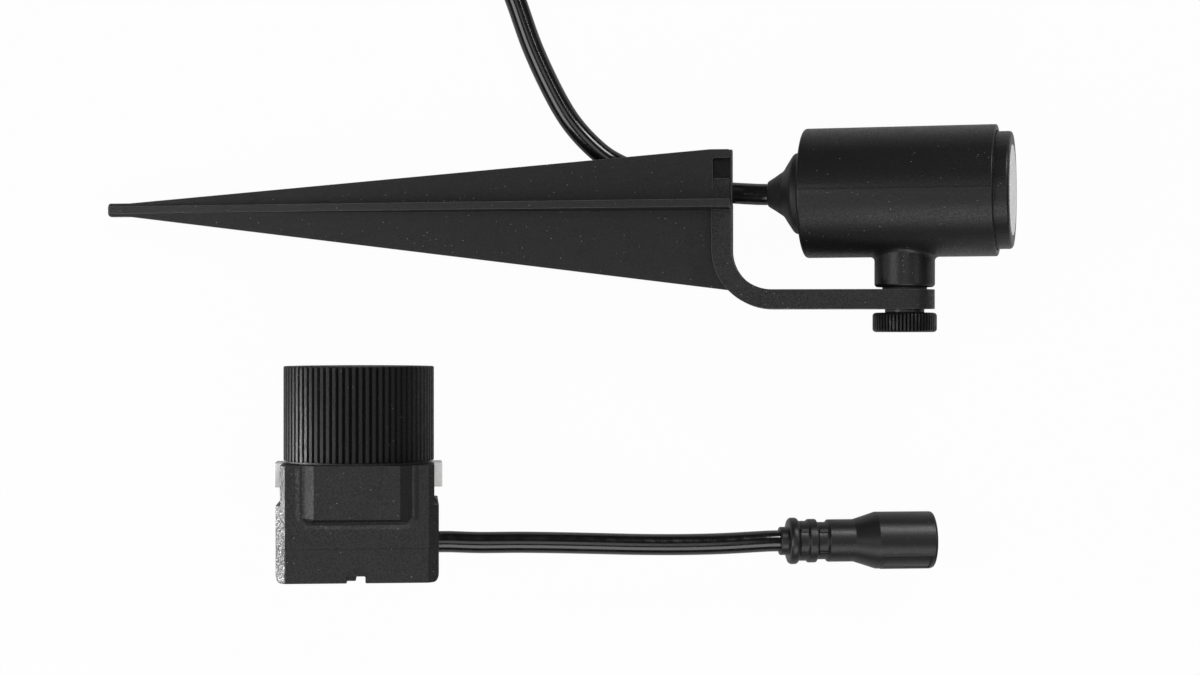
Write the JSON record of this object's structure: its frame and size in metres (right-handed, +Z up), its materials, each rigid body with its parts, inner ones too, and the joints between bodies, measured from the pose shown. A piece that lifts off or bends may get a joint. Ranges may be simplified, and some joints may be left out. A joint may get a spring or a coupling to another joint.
{
  "type": "garden spotlight on a ground stake",
  "caption": "Low-voltage spotlight that tilts on an L-shaped strap over a cruciform ground stake, with its cable and a screw-clamp cable connector lying beside it.",
  "frame": {"origin": "middle of the floor that the lamp and its connector cover, on the surface they lie on", "axes": "+X along the stake towards the lamp head, +Y across it towards the lamp's free side, +Z up"},
  "size_m": [0.2497, 0.2431, 0.0468],
  "materials": {
    "black_plastic": "satin, fine moulded grain",
    "soft_black": "satin moulded elastomer",
    "cord_black": "smooth glossy cable jacket",
    "seal_rubber": "matt",
    "red_rubber": "matt",
    "pale_silicone": "translucent silicone",
    "frosted_lens": "frosted",
    "clear_optic": "clear moulded optic",
    "bare_aluminium": "turned",
    "white_board": "white solder mask on metal core",
    "green_board": "solder mask",
    "dark_parts": "moulded components",
    "phosphor": "phosphor coated",
    "bright_steel": "zinc plated",
    "plain_brass": "turned",
    "wire_red": "insulated wire"
  },
  "bodies": {
    "lamp_base": {"stake": "black_plastic", "bracket": "black_plastic", "cable_link": "cord_black", "lamp_cable": "cord_black", "cable_coil": "cord_black", "coil_tie": "soft_black", "cable_tail": "cord_black", "plug_body": "soft_black", "plug_pins": "plain_brass", "plug_seal": "red_rubber"},
    "lamp_head": {"head_housing": "black_plastic", "boss_insert": "plain_brass", "heat_slug": "bare_aluminium", "led_board": "white_board", "board_screws": "bright_steel", "led_chip": "phosphor", "driver_board": "green_board", "driver_parts": "dark_parts", "collimator": "clear_optic", "lens_seal": "seal_rubber", "lens": "frosted_lens", "front_bezel": "black_plastic", "cable_gland": "soft_black", "gland_nut": "black_plastic", "supply_wires": "wire_red", "pivot_spacer": "soft_black"},
    "pivot_washer": {"clamp_washer": "bright_steel"},
    "thumb_screw": {"thumb_stud": "bright_steel", "thumb_knob": "black_plastic"},
    "connector": {"clamp_body": "black_plastic", "cable_seal": "pale_silicone", "piercing_pins": "plain_brass", "contact_wires": "wire_red", "lead_grommet": "soft_black", "base_cover": "black_plastic", "base_screws": "bright_steel", "cap_gasket": "seal_rubber", "connector_lead": "cord_black", "socket_relief": "soft_black", "socket_shell": "soft_black", "socket_insert": "soft_black", "socket_contacts": "plain_brass"},
    "connector_pad": {"pressure_pad": "black_plastic"},
    "connector_cap": {"screw_cap": "black_plastic"}
  },
  "joints": [
    {"name": "head_tilt", "type": "hinge", "parent": "lamp_base", "child": "lamp_head", "pos_m": [0.09333, 0.0392, 0.02359], "axis": [0, -1, 0], "range_deg": [-9, 80], "deforming": ["cable_link"]},
    {"name": "washer_slide", "type": "slide", "parent": "lamp_head", "child": "pivot_washer", "axis": [0, -1, 0], "range_m": [0, 0.0008]},
    {"name": "thumb_turn", "type": "hinge", "parent": "pivot_washer", "child": "thumb_screw", "pos_m": [0.09333, 0.0392, 0.02359], "axis": [0, -1, 0], "range_deg": [0, 360]},
    {"name": "connector_place", "type": "slide", "parent": "lamp_base", "child": "connector", "axis": [0, -1, 0], "range_m": [0, 0.05]},
    {"name": "pad_slide", "type": "slide", "parent": "connector", "child": "connector_pad", "axis": [0, 1, 0], "range_m": [0, 0.006]},
    {"name": "cap_turn", "type": "hinge", "parent": "connector_pad", "child": "connector_cap", "pos_m": [-0.05334, -0.0204, 0.02016], "axis": [0, 1, 0], "range_deg": [0, 720]}
  ],
  "couplings": [
    {"joint": "thumb_turn", "follows": "washer_slide", "rad_per_m": 7854},
    {"joint": "pad_slide", "follows": "cap_turn", "m_per_rad": 0.00047746}
  ]
}
